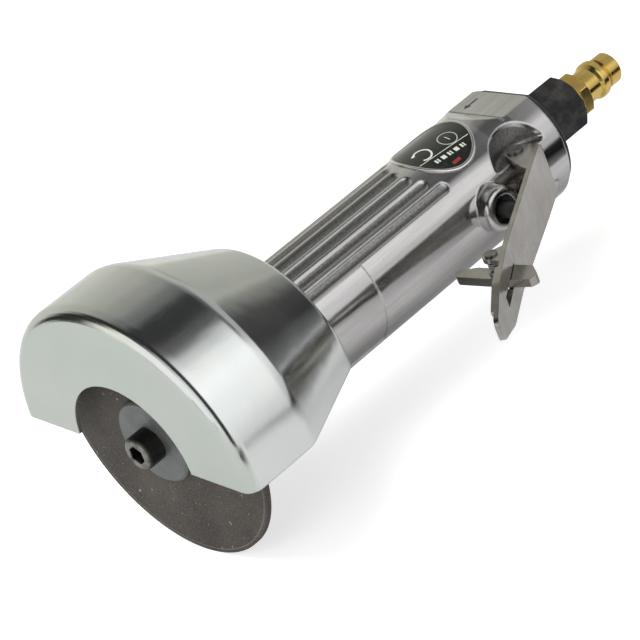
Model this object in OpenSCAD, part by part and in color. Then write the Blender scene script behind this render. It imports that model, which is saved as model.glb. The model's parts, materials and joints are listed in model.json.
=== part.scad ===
// Pneumatic cut off tool with a 75 mm disc, a sprung throttle lever and a turnable guard.
// X runs along the spindle from the disc to the air inlet, -Y is the lever's side, Z is up.
// The origin is the centre of the disc screw's front face.

/* [Disc and flanges] */
// Diameter of the cutting disc
disc_d = 75; // [60:1:78]
// Thickness of the cutting disc
disc_t = 1.6; // [1:0.1:2.5]
// Diameter of both flanges
flange_d = 25; // [20:0.5:30]
// Thickness of the outer flange
outer_flange_t = 3.4; // [2.5:0.1:4.5]
// Thickness of the inner flange
inner_flange_t = 3; // [2.5:0.1:4]
// Diameter of the flange's pilot that centres the disc
pilot_d = 9.5; // [8.5:0.1:11]
// Diameter of the disc screw's head
screw_head_d = 10; // [9.5:0.1:12]
// Height of the disc screw's head
screw_head_h = 5.7; // [5:0.1:7]
// Width across the flats of the disc screw's socket
socket_af = 5; // [4:0.5:5.5]
// Diameter of the disc screw's thread
screw_d = 6; // [5:0.5:6.5]
// Length of the disc screw's thread
screw_l = 20; // [16:1:28]

/* [Guard] */
// Radius of the guard's round wall
guard_r = 45; // [43:0.5:48]
// Thickness of the guard's sheet
guard_t = 1.3; // [1:0.1:1.8]
// Distance of the guard's front face ahead of the disc screw's head
guard_lead = 0.5; // [0:0.1:1.5]
// Length of the guard's straight wall
guard_wall_l = 23; // [20:0.5:28]
// Radius of the guard's rear rim
guard_rim_r = 30; // [28:0.5:33]
// Height of the guard's lower edges above the spindle's axis
guard_edge_z = 0.9; // [0:0.1:3]
// Radius of the arch in the guard's front face
arch_r = 22; // [18:0.5:25]
// Radius of the bend between the guard's front face and its wall
guard_bend_r = 4; // [3:0.1:5]
// Radius of the bend between the guard's wall and its cone
guard_shoulder_r = 8; // [6:0.5:14]
// Radius of the bend round the guard's rear rim
guard_rear_r = 4; // [3:0.5:5]
// Length of the clamp band on the guard's back
band_l = 9; // [8:0.5:11]
// Thickness of the clamp band
band_t = 1.8; // [1.4:0.1:2.4]
// Turn of the guard about the spindle, towards the lever
guard_turn = 6; // [0:1:12]
// Diameter of the clamp screw's thread
clamp_screw_d = 4; // [3:0.5:4.5]
// Diameter of the clamp screw's round head
clamp_head_d = 8; // [7:0.5:8.5]

/* [Housing] */
// Radius of the housing's barrel
body_r = 18.7; // [18.2:0.1:20]
// Radius of the housing's head, round the lever and the air inlet
head_r = 19.3; // [18.9:0.1:20.2]
// Radius of the housing's collar inside the guard
collar_r = 17.2; // [16.8:0.1:17.6]
// Place of the housing's front end
body_front_x = 28; // [26:0.5:30]
// Place of the guard's back wall
collar_end_x = 54; // [52:0.5:56]
// Place of the housing's rear end
body_rear_x = 157.3; // [155:0.5:162]
// Radius of the motor's bore
motor_bore_r = 15; // [14.5:0.1:15.2]
// Number of flutes on each side
flute_n = 6; // [4:1:6]
// Angle from one flute to the next
flute_step = 13.5; // [12:0.5:15]
// Radius of each flute's hollow
flute_r = 2.6; // [2:0.1:3.2]
// Depth of each flute
flute_depth = 0.8; // [0.4:0.1:1.1]
// Rear end of the shortest flute
flute_end_x = 108.5; // [104:0.5:110]
// Rear end of the smooth band beside the guard
band_end_x = 78.5; // [72:0.5:84]
// Depth of the smooth band
band_depth = 0.35; // [0.2:0.05:0.6]
// Turn of the flutes about the axis
flute_turn = 15; // [10:1:20]
// Turn of the label about the axis
label_turn = 6; // [0:1:10]
// Length of the oval label
label_l = 24; // [18:0.5:24]
// Width of the oval label
label_w = 24.8; // [16:0.2:25]
// Thickness of the label plate
label_t = 0.5; // [0.3:0.1:0.8]
// Place of the label's centre
label_x = 125.5; // [124:0.5:126]
// Place of the front edge of the head's flat
pad_x = 145; // [143:0.5:148]
// Height of the head's flat above the axis
pad_z = 15.9; // [15.5:0.1:16.6]

/* [Throttle valve] */
// Place of the valve's axis
valve_x = 125.3; // [124:0.1:127]
// Radius of the round boss at the valve
boss_r = 6.6; // [6.2:0.1:7.2]
// Height of the boss above the axis
boss_h = 23.3; // [22.5:0.1:23.6]
// Radius of the boss's open mouth
mouth_r = 4.1; // [3.8:0.1:4.6]
// Diameter of the valve stem
stem_d = 4.8; // [4:0.1:5.2]
// Radius of the valve's chamber
chamber_r = 5.2; // [5:0.1:5.6]
// Diameter of the valve spring's wire
spring_wire_d = 0.8; // [0.6:0.1:0.9]
// Number of curls of the valve spring
spring_curls = 6; // [5:1:7]

/* [Throttle lever] */
// Place of the lever's pivot along the axis
pivot_x = 141.3; // [140:0.1:142.5]
// Distance of the lever's pivot from the axis
pivot_y = 16.2; // [16:0.1:16.6]
// Angle of the open lever to the axis
lever_angle = 31; // [28:0.5:34]
// Distance of the lever's outer face from its pivot
lever_rise = 7; // [6.8:0.1:7.4]
// Thickness of the lever's sheet
lever_t = 1.4; // [1.2:0.1:1.5]
// Half of the lever's width
lever_half_w = 8.2; // [8.1:0.1:9.2]
// Length of the lever ahead of its pivot
lever_l = 84; // [81:0.5:88]
// Turn of the lever's slotted front away from the barrel
tip_bend = 4; // [1:1:6]
// Diameter of the lever's pin
lever_pin_d = 3; // [2.5:0.1:3.4]
// Distance of the catch's pin ahead of the lever's pivot
catch_s = 55; // [54:0.1:56]
// Distance of the catch's pin outside the lever's pivot
catch_m = 3.1; // [2.8:0.1:3.1]
// Thickness of the safety catch
catch_t = 2.5; // [2:0.1:3]
// Diameter of the catch's pin
catch_pin_d = 2.4; // [2:0.1:2.6]

/* [Motor] */
// Radius of the rotor
rotor_r = 10.4; // [9.8:0.1:10.8]
// Radius of the liner's bore
liner_bore_r = 12.2; // [12:0.1:12.8]
// Shift of the liner's bore from the spindle's axis
liner_shift = 1.6; // [1.3:0.05:1.65]
// Place of the liner's front face
liner_x = 46; // [45.5:0.5:48]
// Length of the liner
liner_l = 36; // [30:1:38]
// Thickness of each vane
vane_t = 1.5; // [1:0.1:1.8]
// Radius of the spindle in its front bearing
spindle_r = 5; // [4.8:0.1:5.4]
// Radius of the rotor's rear shaft
rear_shaft_r = 3; // [2.8:0.1:3.2]
// Outer radius of the front bearing
front_race_r = 13; // [12.5:0.1:13.2]
// Width of the front bearing
front_race_w = 8; // [7:0.5:9]
// Outer radius of the rear bearing
rear_race_r = 9.5; // [9:0.1:10]
// Width of the rear bearing
rear_race_w = 6; // [5:0.5:7]

/* [Air inlet] */
// Width across the flats of the inlet bushing
bushing_af = 17; // [16:0.5:19]
// Length of the inlet bushing's neck
bushing_neck_l = 5.9; // [5:0.1:7.5]
// Length of the inlet bushing's hexagon
bushing_hex_l = 13; // [10:0.5:14]
// Radius of the bushing's thread in the housing
inlet_thread_r = 7.5; // [7:0.1:8]
// Width across the flats of the nipple's hexagon
nipple_af = 13; // [12:0.5:14.5]
// Radius of the nipple's nose and body
nipple_r = 5; // [4.6:0.1:5.3]
// Length of the nipple's hexagon
nipple_hex_l = 4.3; // [3.5:0.1:6]
// Length of the nipple behind the front edge of its ring
nipple_nose_l = 8.6; // [8:0.2:11]
// Radius of the nipple's ring
nipple_ring_r = 5.9; // [5.6:0.1:6.3]
// Radius of the nipple's thread
nipple_thread_r = 6; // [5.6:0.1:6.4]
// Radius of the nipple's air way
nipple_bore_r = 3.4; // [2.8:0.1:3.6]
// Radius of the exhaust deflector
deflector_r = 18.2; // [17.6:0.1:18.6]
// Thickness of the exhaust deflector
deflector_t = 1.8; // [1.6:0.1:2.6]

/* [Clearances] */
// Radial clearance of a running fit between bodies
run_gap = 0.05; // [0.02:0.01:0.1]
// Radial clearance of a piece seated in its own bore
seat_gap = 0.02; // [0.01:0.01:0.05]
// Clearance between pieces that move past each other
free_gap = 0.3; // [0.25:0.05:0.4]

/* [Hidden] */
$fn = 96;
overcut = 1;

// Colours as the photograph shows them
zinc = [0.74, 0.77, 0.76];
polished = [0.70, 0.70, 0.71];
dark_steel = [0.20, 0.20, 0.20];
grey_steel = [0.42, 0.43, 0.44];
black_oxide = [0.10, 0.10, 0.10];
nickel = [0.62, 0.60, 0.56];
brass = [0.80, 0.62, 0.25];
abrasive = [0.24, 0.22, 0.21];
bearing_steel = [0.66, 0.67, 0.69];
rubber = [0.07, 0.07, 0.07];
vane_brown = [0.36, 0.24, 0.15];
felt_brown = [0.30, 0.28, 0.25];

// Stations along the spindle
flange_x = screw_head_h;
disc_x = flange_x + outer_flange_t;
inner_x = disc_x + disc_t;
spindle_x = inner_x + inner_flange_t;
guard_x = -guard_lead;
front_race_x = body_front_x + 6;
front_plate_x = front_race_x - 2;
liner_end_x = liner_x + liner_l;
rear_plate_l = rear_race_w + 3;
rear_race_x = liner_end_x + 2;
motor_end_x = liner_end_x + rear_plate_l;
spindle_front_r = spindle_r + 2;
seal_r = spindle_front_r + 2.5;
socket_depth = 3.2;

flute_middle = (flute_n - 1) / 2;

// Geometry of a bearing, shared by its two races and its balls
function ball_pitch(inner, outer) = (inner + outer) / 2;
function ball_size(inner, outer) = (outer - inner) * 0.27;

// Unit vector along a plane vector
function unit(v) = v / norm(v);

// Points of a round corner at b between a and c, with radius r, in n steps
function round_corner(a, b, c, r, n) =
    let (
        u = unit(a - b),
        w = unit(c - b),
        half = acos(u * w) / 2,
        centre = b + unit(u + w) * r / sin(half),
        from = b + u * r / tan(half) - centre,
        to = b + w * r / tan(half) - centre,
        start = atan2(from[1], from[0]),
        turn = (atan2(to[1], to[0]) - start + 540) % 360 - 180
    )
    [for (i = [0:n]) centre + r * [cos(start + turn * i / n), sin(start + turn * i / n)]];

// The corner at b moved inwards so that both its sides shift by t
function inset_corner(a, b, c, t) =
    let (
        u = unit(a - b),
        w = unit(c - b)
    )
    b + unit(u + w) * t / sin(acos(u * w) / 2);

// A closed path through the points, with each corner rounded by its own radius, 0 for a sharp one
function rounded_path(points, radii, n) =
    let (count = len(points))
    [
        for (i = [0:count - 1])
            let (
                before = points[(i + count - 1) % count],
                after = points[(i + 1) % count]
            )
            each (radii[i] > 0 ? round_corner(before, points[i], after, radii[i], n) : [points[i]])
    ];

// A round rod along X from x0 to x1
module rod(r, x0, x1) {
    translate([x0, 0, 0]) rotate([0, 90, 0]) cylinder(r = r, h = x1 - x0);
}

// A ring along X
module ring(r_out, r_in, x0, x1) {
    difference() {
        rod(r_out, x0, x1);
        rod(r_in, x0 - overcut, x1 + overcut);
    }
}

// A shape turned about X from points given as [x, radius]
module turned(points) {
    rotate([0, 90, 0]) rotate_extrude() polygon([for (p = points) [p[1], p[0]]]);
}

// A hexagonal bar along X
module hex_bar(af, x0, x1) {
    translate([x0, 0, 0]) rotate([0, 90, 0]) cylinder(r = af / sqrt(3), h = x1 - x0, $fn = 6);
}

// A round bar that points away from the axis on the lever's side, from distance d0 to d1
module radial_rod(r, d0, d1) {
    translate([valve_x, -d0, 0]) rotate([90, 0, 0]) cylinder(r = r, h = d1 - d0);
}

// A shape turned about the valve's axis from points given as [distance from the spindle, radius]
module valve_turned(points) {
    translate([valve_x, 0, 0]) rotate([90, 0, 0]) rotate_extrude() polygon([for (p = points) [p[1], p[0]]]);
}

// The lever's own frame: s forwards along the lever, m outwards from the pivot, across along Z
module lever_frame() {
    translate([pivot_x, -pivot_y, 0]) rotate([0, 0, lever_angle]) children();
}

// A plate in the lever's frame that stands across Z, from z0 to z1, drawn as [s, m]
module side_plate(z0, z1) {
    translate([0, 0, z0]) mirror([1, 0, 0]) mirror([0, 1, 0]) linear_extrude(height = z1 - z0) children();
}

// A pin across the lever's frame at [s, m]
module cross_pin(s, m, r, half) {
    side_plate(-half, half) translate([s, m]) circle(r = r);
}

module disc_screw() {
    thread_end_x = flange_x + screw_l;
    head_edge = 0.8;
    color(dark_steel) difference() {
        turned([
            [0, 0], [0, screw_head_d / 2 - head_edge], [head_edge, screw_head_d / 2],
            [screw_head_h, screw_head_d / 2], [screw_head_h, screw_d / 2],
            [thread_end_x - head_edge, screw_d / 2], [thread_end_x, screw_d / 2 - head_edge], [thread_end_x, 0]
        ]);
        hex_bar(socket_af, -overcut, socket_depth);
    }
}

module outer_flange() {
    relief_r = flange_d / 2 - 3.5;
    relief_depth = 0.5;
    edge = 0.6;
    color(grey_steel) turned([
        [flange_x, screw_d / 2 + seat_gap], [flange_x, flange_d / 2 - edge],
        [flange_x + edge, flange_d / 2], [disc_x, flange_d / 2], [disc_x, relief_r],
        [disc_x - relief_depth, relief_r], [disc_x - relief_depth, screw_d / 2 + seat_gap]
    ]);
}

module cutting_disc() {
    color(abrasive) ring(disc_d / 2, pilot_d / 2 + seat_gap, disc_x, inner_x);
}

module inner_flange() {
    edge = 0.6;
    pilot_start_x = disc_x - 0.4;
    color(dark_steel) turned([
        [pilot_start_x, screw_d / 2 + seat_gap], [pilot_start_x, pilot_d / 2], [inner_x, pilot_d / 2],
        [inner_x, flange_d / 2], [spindle_x - edge, flange_d / 2], [spindle_x, flange_d / 2 - edge],
        [spindle_x, screw_d / 2 + seat_gap]
    ]);
}

// The hood's sheet as [x, radius], from the arch round the outside to the band and back inside
function hood_profile() =
    let (
        inner_r = collar_r + run_gap + band_t / 2,
        a = [guard_x, arch_r - overcut],
        b = [guard_x, guard_r],
        c = [guard_x + guard_wall_l, guard_r],
        d = [collar_end_x - free_gap, guard_rim_r],
        e = [collar_end_x - free_gap, inner_r],
        shift = [guard_t, 0],
        bend_n = 8
    )
    concat(
        [a],
        round_corner(a, b, c, guard_bend_r, bend_n),
        round_corner(b, c, d, guard_shoulder_r, bend_n),
        round_corner(c, d, e, guard_rear_r, bend_n),
        [e, e - shift],
        round_corner(
            e - shift, inset_corner(c, d, e, guard_t), inset_corner(b, c, d, guard_t),
            guard_rear_r - guard_t, bend_n
        ),
        round_corner(
            inset_corner(c, d, e, guard_t), inset_corner(b, c, d, guard_t), inset_corner(a, b, c, guard_t),
            guard_shoulder_r - guard_t, bend_n
        ),
        round_corner(
            inset_corner(b, c, d, guard_t), inset_corner(a, b, c, guard_t), a + shift,
            guard_bend_r - guard_t, bend_n
        ),
        [a + shift]
    );

// The clamp's two ears stand under the band, with this gap between them
clamp_gap = 2;
clamp_ear_t = 3;
clamp_ear_w = clamp_ear_t + clamp_gap / 2;
clamp_z = collar_r + band_t + clamp_head_d / 2 + 1;
clamp_x = collar_end_x - free_gap - band_l / 2;

module guard() {
    band_r = collar_r + run_gap + band_t;
    band_x = collar_end_x - free_gap - band_l;
    color(zinc) rotate([guard_turn, 0, 0]) difference() {
        union() {
            intersection() {
                turned(hood_profile());
                translate([guard_x - overcut, -guard_r - overcut, guard_edge_z]) cube([
                    collar_end_x + guard_lead + 2 * overcut, 2 * (guard_r + overcut), guard_r + overcut
                ]);
            }
            rod(band_r, band_x, band_x + band_l);
            translate([band_x, -clamp_ear_w, -clamp_z - clamp_head_d / 2])
                cube([band_l, 2 * clamp_ear_w, clamp_z + clamp_head_d / 2 - collar_r]);
        }
        rod(collar_r + run_gap, band_x - overcut, collar_end_x + overcut);
        translate([band_x - overcut, -clamp_gap / 2, -clamp_z - clamp_head_d])
            cube([band_l + 2 * overcut, clamp_gap, clamp_z + clamp_head_d]);
        rod(arch_r, guard_x - overcut, guard_x + guard_t + overcut);
        translate([clamp_x, clamp_ear_w + overcut, -clamp_z]) rotate([90, 0, 0])
            cylinder(r = clamp_screw_d / 2 + seat_gap, h = 2 * clamp_ear_w + 2 * overcut);
    }
}

module clamp_screw() {
    head_h = 4;
    socket_r = 1.7;
    shank_l = 2 * clamp_ear_w + 4.5;
    color(black_oxide) rotate([guard_turn, 0, 0])
        translate([clamp_x, -clamp_ear_w, -clamp_z]) rotate([90, 0, 0]) difference() {
            union() {
                translate([0, 0, -shank_l]) cylinder(r = clamp_screw_d / 2, h = shank_l + overcut);
                rotate_extrude() polygon(concat(
                    [[0, 0], [clamp_head_d / 2, 0]],
                    round_corner([clamp_head_d / 2, 0], [clamp_head_d / 2, head_h], [0, head_h], 1.2, 5),
                    [[0, head_h]]
                ));
            }
            translate([0, 0, head_h - 2.4]) cylinder(r = socket_r, h = 3, $fn = 6);
        }
}

module clamp_nut() {
    nut_h = 3.2;
    nut_af = 7;
    color(black_oxide) rotate([guard_turn, 0, 0])
        translate([clamp_x, clamp_ear_w, -clamp_z]) rotate([-90, 0, 0]) difference() {
            cylinder(r = nut_af / sqrt(3), h = nut_h, $fn = 6);
            translate([0, 0, -overcut]) cylinder(r = clamp_screw_d / 2 + seat_gap, h = nut_h + 2 * overcut);
        }
}

// Where the head's cone starts, and the land that the lever's ears straddle
head_cone_x = 138;
head_full_x = 147;
edge_r = 0.8;
mouth_floor = boss_h - 2.6;
land_half = lever_half_w - lever_t - free_gap;
recess_x = pivot_x;
recess_y = pivot_y + 7.5;
recess_r = 11.9;
recess_fillet = 1.5;
inlet_bore_r = 4.2;
inlet_thread_l = 13;
muffler_r_out = pad_z - 0.7;
muffler_r_in = inlet_thread_r + 2;
muffler_l = 4;

// One scallop beside the land, sunk along Z, with a rounded floor edge
module recess(side) {
    floor_r = recess_r - recess_fillet;
    mirror([0, 0, side < 0 ? 1 : 0]) translate([recess_x, -recess_y, land_half])
        rotate_extrude() polygon(concat(
            [[0, 0]],
            round_corner([0, 0], [floor_r + recess_fillet, 0], [recess_r, recess_fillet * 2], recess_fillet, 8),
            [[recess_r, body_r], [0, body_r]]
        ));
}

// One flute, a hollow along X with a ball end, at an angle from straight up towards the lever
module flute(angle, end_x) {
    centre_r = body_r + flute_r - flute_depth;
    rotate([angle, 0, 0]) translate([0, 0, centre_r]) {
        rod(flute_r, collar_end_x - overcut, end_x);
        translate([end_x, 0, 0]) rotate_extrude() intersection() {
            circle(r = flute_r);
            translate([0, -flute_r]) square([flute_r, 2 * flute_r]);
        }
    }
}

// Space above the head's flat, with the ramp that leads down to it and a groove across its front
module above_pad() {
    ramp_x = head_cone_x + 0.5;
    ramp_end_z = pad_z + 0.3;
    groove_w = 0.8;
    groove_depth = 0.5;
    translate([0, head_r + overcut, 0]) rotate([90, 0, 0]) linear_extrude(height = 2 * (head_r + overcut))
        polygon([
            [ramp_x, body_r], [pad_x, ramp_end_z], [pad_x, pad_z - groove_depth],
            [pad_x + groove_w, pad_z - groove_depth], [pad_x + groove_w, pad_z],
            [body_rear_x + overcut, pad_z], [body_rear_x + overcut, head_r + overcut],
            [ramp_x, head_r + overcut]
        ]);
}

// The smooth band beside the guard, sunk into the barrel between the upper and the lower flutes
module smooth_band() {
    start_angle = 55;
    span = 81;
    rotate([start_angle, 0, 0]) rotate([0, 90, 0]) translate([0, 0, collar_end_x - overcut])
        rotate_extrude(angle = span, start = 180)
            translate([body_r - band_depth, 0]) square([2, band_end_x - collar_end_x + overcut]);
}

module housing() {
    passage_r = 2.2;
    passage_y = -13;
    exhaust_r = 2;
    exhaust_y = 5;
    exhaust_z = sqrt(pow((muffler_r_in + muffler_r_out) / 2, 2) - pow(exhaust_y, 2));
    boss_fillet = 2.9;
    boss_root_r = boss_r + boss_fillet;
    boss_root_y = sqrt(pow(body_r, 2) - pow(boss_root_r, 2));
    boss_edge = 1.6;
    // The flutes' ends follow a curve round the label
    rise_outer = 0.0055;
    rise_inner = 0.004;
    color(polished) difference() {
        union() {
            turned(concat(
                [[body_front_x, 0], [body_front_x, collar_r - edge_r], [body_front_x + edge_r, collar_r]],
                [[collar_end_x, collar_r]],
                [[collar_end_x, body_r - edge_r / 2], [collar_end_x + edge_r / 2, body_r]],
                [[head_cone_x, body_r]],
                [[head_full_x, head_r], [body_rear_x - edge_r, head_r], [body_rear_x, head_r - edge_r]],
                [[body_rear_x, 0]]
            ));
            valve_turned(concat(
                [[0, 0], [0, boss_root_r], [boss_root_y, boss_root_r]],
                round_corner([boss_root_y, boss_root_r], [boss_root_y, boss_r], [boss_h, boss_r], boss_fillet, 8),
                round_corner([boss_root_y, boss_r], [boss_h, boss_r], [boss_h, 0], boss_edge, 8),
                [[boss_h, 0]]
            ));
        }
        above_pad();
        for (side = [-1, 1]) {
            for (i = [0:flute_n - 1]) {
                offset_angle = (i - flute_middle) * flute_step;
                flute(
                    side > 0 ? flute_turn + offset_angle : 180 + offset_angle,
                    flute_end_x + pow(offset_angle, 2) * (offset_angle * side > 0 ? rise_outer : rise_inner)
                );
            }
            recess(side);
        }
        smooth_band();
        rod(motor_bore_r, body_front_x - overcut, motor_end_x);
        rod(inlet_bore_r, valve_x, body_rear_x);
        rod(inlet_thread_r + seat_gap, body_rear_x - inlet_thread_l - 1, body_rear_x + overcut);
        radial_rod(chamber_r, chamber_floor - overcut, mouth_floor);
        radial_rod(mouth_r, chamber_floor, boss_h + overcut);
        translate([0, passage_y, 0]) rod(passage_r, motor_end_x - overcut, valve_x);
        for (side = [-1, 1]) {
            translate([0, exhaust_y, side * exhaust_z])
                rod(exhaust_r, motor_end_x - overcut, body_rear_x + overcut);
        }
        ring(muffler_r_out, muffler_r_in, body_rear_x - muffler_l, body_rear_x + overcut);
        translate([pivot_x, -pivot_y, -land_half - overcut])
            cylinder(r = lever_pin_d / 2 + run_gap, h = 2 * land_half + 2 * overcut);
    }
}

// Points of an oval of the given length and width
function oval(length, width) = [for (a = [0:8:352]) [length / 2 * cos(a), width / 2 * sin(a)]];

module label_plate() {
    color(black_oxide) rotate([label_turn, 0, 0]) intersection() {
        ring(body_r + seat_gap + label_t, body_r + seat_gap, label_x - label_l, label_x + label_l);
        translate([label_x, 0, 0]) linear_extrude(height = body_r + 2) polygon(oval(label_l, label_w));
    }
}

module lock_ring() {
    wrench_hole_r = 1.2;
    head_l = 4;
    wrench_hole_l = 3;
    ring_x = body_front_x - head_l;
    color(dark_steel) difference() {
        union() {
            rod(collar_r - edge_r, ring_x, body_front_x);
            rod(motor_bore_r - seat_gap, body_front_x, front_plate_x);
        }
        rod(seal_r, ring_x - overcut, front_plate_x + overcut);
        for (i = [0:3]) {
            rotate([i * 90, 0, 0]) translate([0, 0, motor_bore_r - 2])
                rod(wrench_hole_r, ring_x - overcut, ring_x + wrench_hole_l);
        }
    }
}

module dust_seal() {
    lead = 3;
    color(rubber) ring(
        seal_r - seat_gap, spindle_front_r + run_gap, body_front_x - lead, front_plate_x
    );
}

module front_end_plate() {
    color(bearing_steel) difference() {
        rod(motor_bore_r - seat_gap, front_plate_x, liner_x);
        rod(front_race_r + seat_gap, front_race_x, front_race_x + front_race_w);
        rod(spindle_front_r + 0.6, front_plate_x - overcut, front_race_x + overcut);
        rod(spindle_r + 0.6, front_race_x, liner_x + overcut);
    }
}

// One race of a ball bearing, with the ball's groove in its face
module outer_race(inner, outer, x0, w) {
    pitch = ball_pitch(inner, outer);
    ball_r = ball_size(inner, outer) + run_gap;
    land_r = pitch + ball_r * 0.45;
    difference() {
        ring(outer, land_r, x0, x0 + w);
        ball_groove(pitch, ball_r, x0 + w / 2);
    }
}

module inner_race(inner, outer, x0, w) {
    pitch = ball_pitch(inner, outer);
    ball_r = ball_size(inner, outer) + run_gap;
    land_r = pitch - ball_r * 0.45;
    difference() {
        ring(land_r, inner, x0, x0 + w);
        ball_groove(pitch, ball_r, x0 + w / 2);
    }
}

module ball_groove(pitch, ball_r, x) {
    translate([x, 0, 0]) rotate([0, 90, 0]) rotate_extrude() translate([pitch, 0]) circle(r = ball_r);
}

// The balls of a bearing, held by a thin ring that passes through them
module ball_set(inner, outer, x0, w, count) {
    pitch = ball_pitch(inner, outer);
    ball_r = ball_size(inner, outer);
    cage_half = ball_r * 0.2;
    ring(pitch + cage_half, pitch - cage_half, x0 + w / 2 - ball_r * 0.6, x0 + w / 2 + ball_r * 0.6);
    for (i = [0:count - 1]) {
        rotate([i * 360 / count, 0, 0]) translate([x0 + w / 2, 0, pitch]) sphere(r = ball_r);
    }
}

module front_bearing_outer() {
    color(bearing_steel) outer_race(spindle_r + seat_gap, front_race_r, front_race_x, front_race_w);
}

module front_bearing_inner() {
    color(bearing_steel) inner_race(spindle_r + seat_gap, front_race_r, front_race_x, front_race_w);
}

module front_bearing_balls() {
    color(bearing_steel) ball_set(spindle_r + seat_gap, front_race_r, front_race_x, front_race_w, 9);
}

module rear_bearing_outer() {
    color(bearing_steel) outer_race(rear_shaft_r + seat_gap, rear_race_r, rear_race_x, rear_race_w);
}

module rear_bearing_inner() {
    color(bearing_steel) inner_race(rear_shaft_r + seat_gap, rear_race_r, rear_race_x, rear_race_w);
}

module rear_bearing_balls() {
    color(bearing_steel) ball_set(rear_shaft_r + seat_gap, rear_race_r, rear_race_x, rear_race_w, 7);
}

// Vane slots stand square about the rotor, each this deep
vane_n = 4;
vane_depth = 5;

module rotor() {
    flat_af = 11;
    flat_l = 5;
    flat_cut = [flat_l + overcut, spindle_front_r + overcut - flat_af / 2, 2 * spindle_front_r];
    color(bearing_steel) difference() {
        union() {
            rod(spindle_front_r, spindle_x, front_race_x - seat_gap);
            rod(spindle_r, front_race_x - overcut, liner_x + free_gap);
            rod(rotor_r, liner_x + free_gap, liner_end_x - free_gap);
            rod(rear_shaft_r, liner_end_x - free_gap - overcut, rear_race_x + rear_race_w);
        }
        rod(screw_d / 2 + seat_gap, spindle_x - overcut, flange_x + screw_l + 2);
        for (side = [-1, 1]) {
            mirror([0, side < 0 ? 1 : 0, 0])
                translate([spindle_x - overcut, flat_af / 2, -spindle_front_r]) cube(flat_cut);
        }
        for (i = [0:vane_n - 1]) {
            rotate([45 + i * 360 / vane_n, 0, 0])
                translate([liner_x, -vane_t / 2 - seat_gap, rotor_r - vane_depth])
                    cube([liner_l, vane_t + 2 * seat_gap, vane_depth + overcut]);
        }
    }
}

module rotor_vanes() {
    vane_h = vane_depth - 0.3;
    color(vane_brown) for (i = [0:vane_n - 1]) {
        rotate([45 + i * 360 / vane_n, 0, 0])
            translate([liner_x + free_gap, -vane_t / 2, rotor_r - vane_depth + seat_gap])
                cube([liner_l - 2 * free_gap, vane_t, vane_h - seat_gap]);
    }
}

pin_r = 1.2;
pin_at = [-9.5, -9.5];

module cylinder_liner() {
    port_r = 1.6;
    color(bearing_steel) difference() {
        rod(motor_bore_r - seat_gap, liner_x, liner_end_x);
        translate([0, 0, liner_shift]) rod(liner_bore_r, liner_x - overcut, liner_end_x + overcut);
        translate([0, pin_at[0], pin_at[1]]) rod(pin_r + seat_gap, liner_end_x - 6, liner_end_x + overcut);
        for (i = [0:4]) {
            translate([liner_x + liner_l * (i + 1) / 6, 0, 0]) rotate([90, 0, 0])
                cylinder(r = port_r, h = 2 * motor_bore_r, center = true);
        }
    }
}

module cylinder_pin() {
    color(bearing_steel) translate([0, pin_at[0], pin_at[1]]) rod(pin_r, liner_end_x - 6, liner_end_x + 4);
}

module rear_end_plate() {
    plate_r = motor_bore_r - seat_gap;
    supply_r = 1.4;
    color(bearing_steel) difference() {
        rod(plate_r, liner_end_x, motor_end_x);
        rod(rear_race_r + seat_gap, rear_race_x, motor_end_x + overcut);
        rod(rear_shaft_r + 0.5, liner_end_x - overcut, rear_race_x + overcut);
        translate([0, pin_at[0], pin_at[1]]) rod(pin_r + seat_gap, liner_end_x - overcut, liner_end_x + 4);
        translate([0, -12.5, 0]) rod(supply_r, liner_end_x - overcut, motor_end_x + overcut);
    }
}

// Outline of the lever's web from above, as [s, z]
web_rear_s = -2.6;
web_wide_s = 12;
web_taper_s = 70;
web_taper_half_w = 6.8;
tip_half_w = 3;

// Half of the web's width at s, between its wide rear and the start of the tip's taper
function web_half(s) =
    lever_half_w + (web_taper_half_w - lever_half_w) * (s - web_wide_s) / (web_taper_s - web_wide_s);

module web_outline() {
    polygon(rounded_path(
        [
            [web_rear_s, -lever_half_w], [web_wide_s, -lever_half_w], [web_taper_s, -web_taper_half_w],
            [lever_l, -tip_half_w], [lever_l, tip_half_w], [web_taper_s, web_taper_half_w],
            [web_wide_s, lever_half_w], [web_rear_s, lever_half_w]
        ],
        [2, 8, 10, 2.4, 2.4, 10, 8, 2], 6
    ));
}

module web_sheet() {
    translate([0, lever_t - lever_rise, 0]) rotate([90, 0, 0]) linear_extrude(height = lever_t)
        mirror([1, 0]) web_outline();
}

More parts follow.
